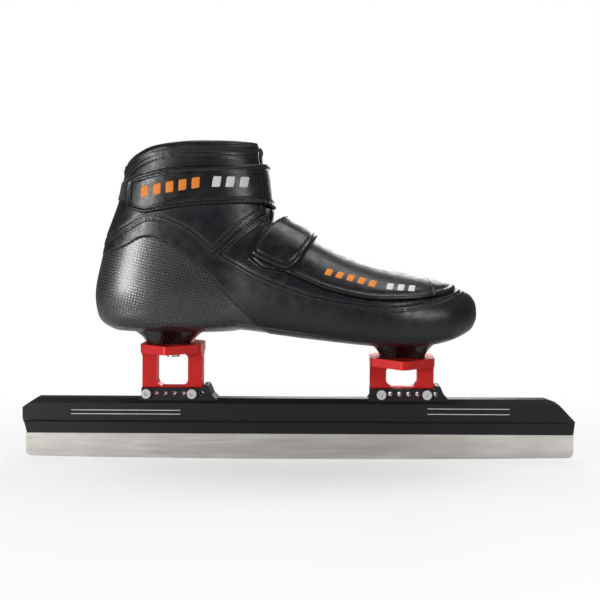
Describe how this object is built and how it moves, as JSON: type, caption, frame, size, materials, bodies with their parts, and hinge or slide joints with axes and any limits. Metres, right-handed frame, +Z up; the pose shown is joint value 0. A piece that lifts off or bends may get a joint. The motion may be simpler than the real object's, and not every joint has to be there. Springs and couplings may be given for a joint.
{
  "type": "speed skate",
  "caption": "Short-track speed skate for the right foot: low padded boot with two wrap straps on a carbon shell, bolted by two red cups to a long fixed blade.",
  "frame": {"origin": "on the ice at the lowest point of the runner's rocker, halfway along the runner, in the runner's centre plane", "axes": "+X to the toe, +Y to the inner (medial) side of the right foot, +Z up"},
  "size_m": [0.4333, 0.1, 0.2519],
  "materials": {
    "runner_steel": "ground lengthwise",
    "tube_black": "black anodised, satin",
    "plug_black": "matte",
    "cup_red": "red anodised, satin",
    "bolt_steel": "bright",
    "carbon": "glossy twill weave",
    "leather_black": "smooth, semi-gloss",
    "lining": "knitted",
    "insole_foam": "woven top cloth",
    "hook_tape": "napped",
    "lace_cord": "braided",
    "eyelet_metal": "black nickel"
  },
  "bodies": {
    "boot": {"mount_bolts": "bolt_steel", "mount_washers": "bolt_steel", "threaded_inserts": "bolt_steel", "carbon_shell": "carbon", "ankle_upper": "leather_black", "vamp_upper": "leather_black", "lower_wrap": "leather_black", "ankle_padding": "lining", "tongue": "leather_black", "insole": "insole_foam", "eyelets": "eyelet_metal", "laces": "lace_cord", "lace_cover_tip": "leather_black", "ankle_hook_band": "hook_tape", "ankle_strap_anchor": "leather_black", "instep_hook_patch": "hook_tape", "instep_strap_anchor": "leather_black"},
    "blade": {"runner": "runner_steel", "tube": "tube_black", "tail_plug": "plug_black", "nose_plug": "plug_black", "rear_cup": "cup_red", "front_cup": "cup_red", "cross_bolts": "bolt_steel", "cross_nuts": "bolt_steel"},
    "ankle_strap": {"ankle_strap": "leather_black"},
    "instep_strap": {"instep_strap": "leather_black"},
    "lace_cover": {"lace_cover": "leather_black"}
  },
  "joints": [
    {"name": "blade_lateral_shift", "type": "slide", "parent": "boot", "child": "blade", "axis": [0, 1, 0], "range_m": [-0.006, 0.006]},
    {"name": "ankle_strap_open", "type": "hinge", "parent": "boot", "child": "ankle_strap", "pos_m": [-0.044, 0.031, 0.21], "axis": [0, 0, 1], "range_deg": [0, 75]},
    {"name": "instep_strap_open", "type": "hinge", "parent": "boot", "child": "instep_strap", "pos_m": [-0.017, 0.042, 0.157], "axis": [-0.953, 0, 0.303], "range_deg": [0, 125]},
    {"name": "lace_cover_lift", "type": "hinge", "parent": "boot", "child": "lace_cover", "pos_m": [0.099, 0, 0.1455], "axis": [0, 1, 0], "range_deg": [0, 10]}
  ],
  "couplings": [
    {"joint": "lace_cover_lift", "follows": "instep_strap_open", "ratio": 0.08}
  ]
}
